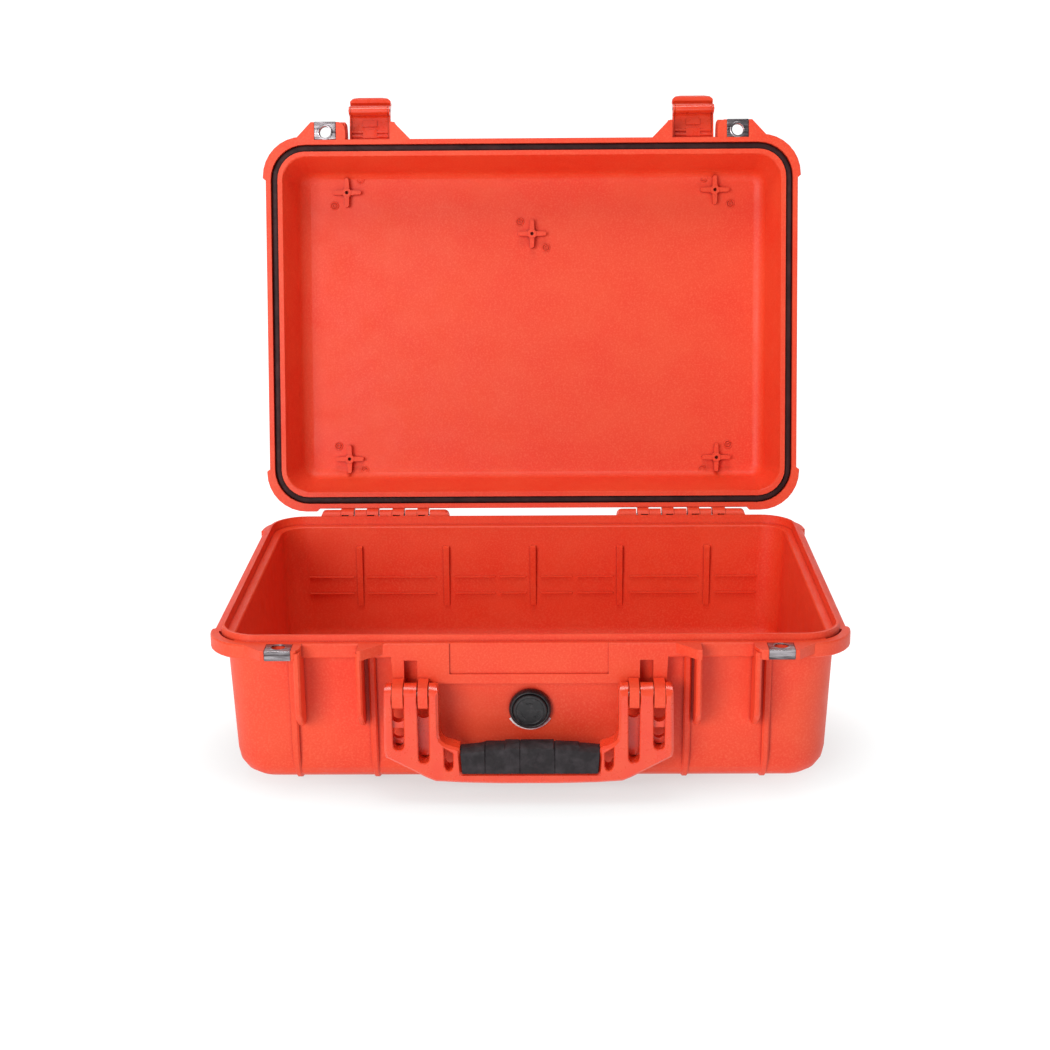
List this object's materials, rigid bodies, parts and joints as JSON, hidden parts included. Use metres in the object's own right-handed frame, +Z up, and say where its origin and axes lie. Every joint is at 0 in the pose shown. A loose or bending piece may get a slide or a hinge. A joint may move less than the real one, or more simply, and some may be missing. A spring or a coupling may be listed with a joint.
{
  "type": "hard equipment case",
  "caption": "Moulded hard case shown open, with a hinged lid on a sealing gasket, lever latches, a swinging handle with a rubber grip and a purge valve.",
  "frame": {"origin": "centre of the bounding box of the open case in X and Y, at the level of the foot rails in Z", "axes": "+X to the right seen from the front, +Y from the front to the hinge side, +Z up"},
  "size_m": [0.47, 0.4679, 0.4743],
  "materials": {
    "shell_plastic": "fine moulded texture",
    "latch_plastic": "smooth moulded",
    "handle_plastic": "smooth moulded",
    "grip_rubber": "soft matte",
    "gasket_rubber": "soft matte",
    "plate_steel": "bright rolled sheet",
    "pin_steel": "drawn",
    "seal_rubber": "matte",
    "label_film": "blank printed film",
    "valve_plastic": "satin moulded"
  },
  "bodies": {
    "base": {"base_shell": "shell_plastic", "hinge_pin_left": "pin_steel", "hinge_pin_right": "pin_steel", "padlock_plate_base_left": "plate_steel", "padlock_plate_base_right": "plate_steel", "handle_pin_left": "pin_steel", "handle_pin_right": "pin_steel", "valve_body": "valve_plastic", "valve_seal": "seal_rubber", "valve_nut": "valve_plastic", "valve_label": "label_film"},
    "lid": {"lid_shell": "shell_plastic", "lid_gasket": "gasket_rubber", "padlock_plate_lid_left": "plate_steel", "padlock_plate_lid_right": "plate_steel", "latch_lid_pin_left": "pin_steel", "latch_lid_pin_right": "pin_steel"},
    "lever_left": {"latch_lever_left": "latch_plastic", "latch_hook_pin_left": "pin_steel"},
    "lever_right": {"latch_lever_right": "latch_plastic", "latch_hook_pin_right": "pin_steel"},
    "hook_left": {"latch_hook_left": "latch_plastic"},
    "hook_right": {"latch_hook_right": "latch_plastic"},
    "handle": {"handle_frame": "handle_plastic", "handle_grip": "grip_rubber"},
    "knob": {"valve_knob": "valve_plastic"}
  },
  "joints": [
    {"name": "lid_hinge", "type": "hinge", "parent": "base", "child": "lid", "pos_m": [0, 0.1161, 0.1186], "axis": [-1, 0, 0], "range_deg": [-102, 0]},
    {"name": "latch_lever_left", "type": "hinge", "parent": "lid", "child": "lever_left", "pos_m": [-0.1428, 0.2003, 0.43296], "axis": [-1, 0, 0], "range_deg": [-95, 0]},
    {"name": "latch_lever_right", "type": "hinge", "parent": "lid", "child": "lever_right", "pos_m": [0.1428, 0.2003, 0.43296], "axis": [-1, 0, 0], "range_deg": [-95, 0]},
    {"name": "latch_hook_left", "type": "hinge", "parent": "lever_left", "child": "hook_left", "pos_m": [-0.1428, 0.21046, 0.46415], "axis": [-1, 0, 0], "range_deg": [0, 70]},
    {"name": "latch_hook_right", "type": "hinge", "parent": "lever_right", "child": "hook_right", "pos_m": [0.1428, 0.21046, 0.46415], "axis": [-1, 0, 0], "range_deg": [0, 70]},
    {"name": "handle_swing", "type": "hinge", "parent": "base", "child": "handle", "pos_m": [0, -0.2242, 0.0832], "axis": [-1, 0, 0], "range_deg": [-8, 100]},
    {"name": "valve_turn", "type": "hinge", "parent": "base", "child": "knob", "pos_m": [0, -0.20187, 0.0643], "axis": [0, -0.9991, -0.0425], "range_deg": [0, 90]}
  ]
}
